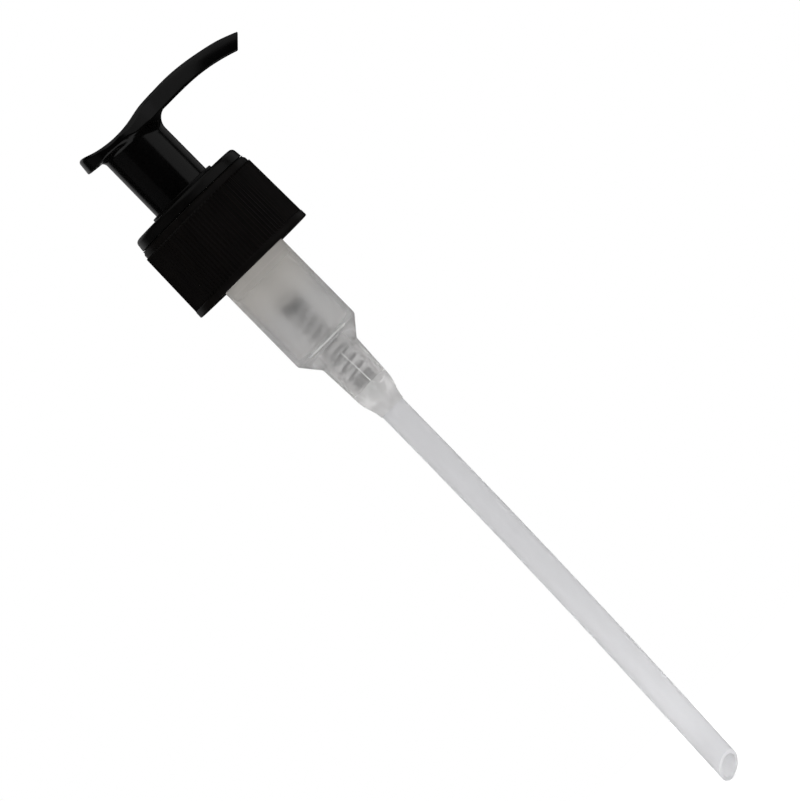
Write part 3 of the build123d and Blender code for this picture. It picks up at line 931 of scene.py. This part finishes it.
def white_world():
    """White surround for sight and soft light. Mirror-like reflections see a dark studio instead, unless
    the ray has come through the clear plastic."""
    world = bpy.data.worlds.new("studio")
    bpy.context.scene.world = world
    world.use_nodes = True
    nodes = world.node_tree.nodes
    links = world.node_tree.links
    back = nodes["Background"]
    path = nodes.new("ShaderNodeLightPath")
    outside = nodes.new("ShaderNodeMath")
    outside.operation = "LESS_THAN"
    outside.inputs[1].default_value = 0.5
    links.new(path.outputs["Transmission Depth"], outside.inputs[0])
    mirrored = nodes.new("ShaderNodeMath")
    mirrored.operation = "MULTIPLY"
    links.new(path.outputs["Is Glossy Ray"], mirrored.inputs[0])
    links.new(outside.outputs["Value"], mirrored.inputs[1])
    mix = nodes.new("ShaderNodeMix")
    mix.data_type = "RGBA"
    mix.inputs["A"].default_value = (1, 1, 1, 1)
    mix.inputs["B"].default_value = (STUDIO_DARK, STUDIO_DARK, STUDIO_DARK, 1)
    links.new(mirrored.outputs["Value"], mix.inputs["Factor"])
    links.new(mix.outputs["Result"], back.inputs["Color"])
    back.inputs["Strength"].default_value = 1.0


def floor():
    """Round pale floor just under the tip of the dip tube. It doesn't show in reflections."""
    mesh = bpy.data.meshes.new("floor")
    disc = bmesh.new()
    bmesh.ops.create_circle(disc, cap_ends=True, segments=96, radius=FLOOR_RADIUS)
    disc.to_mesh(mesh)
    disc.free()
    mesh.materials.append(pale_floor())
    piece = bpy.data.objects.new("floor", mesh)
    piece.location.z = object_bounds()[0].z
    piece.visible_glossy = False
    bpy.context.scene.collection.objects.link(piece)
    piece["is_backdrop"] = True


def photo_camera():
    """Level side view along +Y, rolled so that the upright pump lies along the picture's diagonal."""
    distance = 3.0
    view_width = 0.1818
    target = Vector((0.00234, 0, -0.0610))
    roll = math.radians(44.5)
    data = bpy.data.cameras.new("camera")
    data.sensor_width = 36
    data.lens = data.sensor_width * distance / view_width
    data.clip_end = 20
    camera = bpy.data.objects.new("camera", data)
    right = Vector((math.cos(roll), 0, -math.sin(roll)))
    up = Vector((math.sin(roll), 0, math.cos(roll)))
    away = right.cross(up)
    turn = Matrix((right, up, away)).transposed().to_4x4()
    camera.matrix_world = Matrix.Translation(target + away * distance) @ turn
    bpy.context.scene.collection.objects.link(camera)
    bpy.context.scene.camera = camera


# ---- Put together ----------------------------------------------------------------------------------------


def dress_cad_nodes():
    """Gives the CAD nodes that stay visible their finishes."""
    milky = natural_plastic("natural_pp", (0.995, 0.985, 0.97))
    finishes = {
        "piston_stem": milky,
        "valve_rod": milky,
        "piston_seal": natural_plastic("seal_pe", (0.995, 0.98, 0.96)),
        "neck_gasket": gasket_foam(),
        "inlet_ball": ball_glass(),
        "locking_ring": black_satin(),
        "pump_housing": housing_pp(),
        "dip_tube": tube_pe(),
    }
    for node, finish in finishes.items():
        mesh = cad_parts[node].data
        mesh.materials.clear()
        mesh.materials.append(finish)


def add_painted_highlights():
    """The housing's glowing strips, painted highlights, stand for no CAD node. They share the housing's
    slot.
    """
    edges = painted_highlight_strips()
    edges.data.materials.append(painted_highlight_finish())
    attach(edges, "housing")


def add_spring():
    """The coil stands for the return spring in the housing's body, with a mesh of its own."""
    coils = stand_in(spring(), "housing", "return_spring", spring_steel())
    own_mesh(coils)


bpy.context.scene.view_settings.view_transform = "Standard"
photo_camera()
white_world()
floor()
studio_lights()

dress_cad_nodes()
stand_in(head(), "plunger", "actuator_head", black_gloss())
stand_in(collar(), "collar", "screw_collar", black_ribbed())
add_painted_highlights()
add_spring()
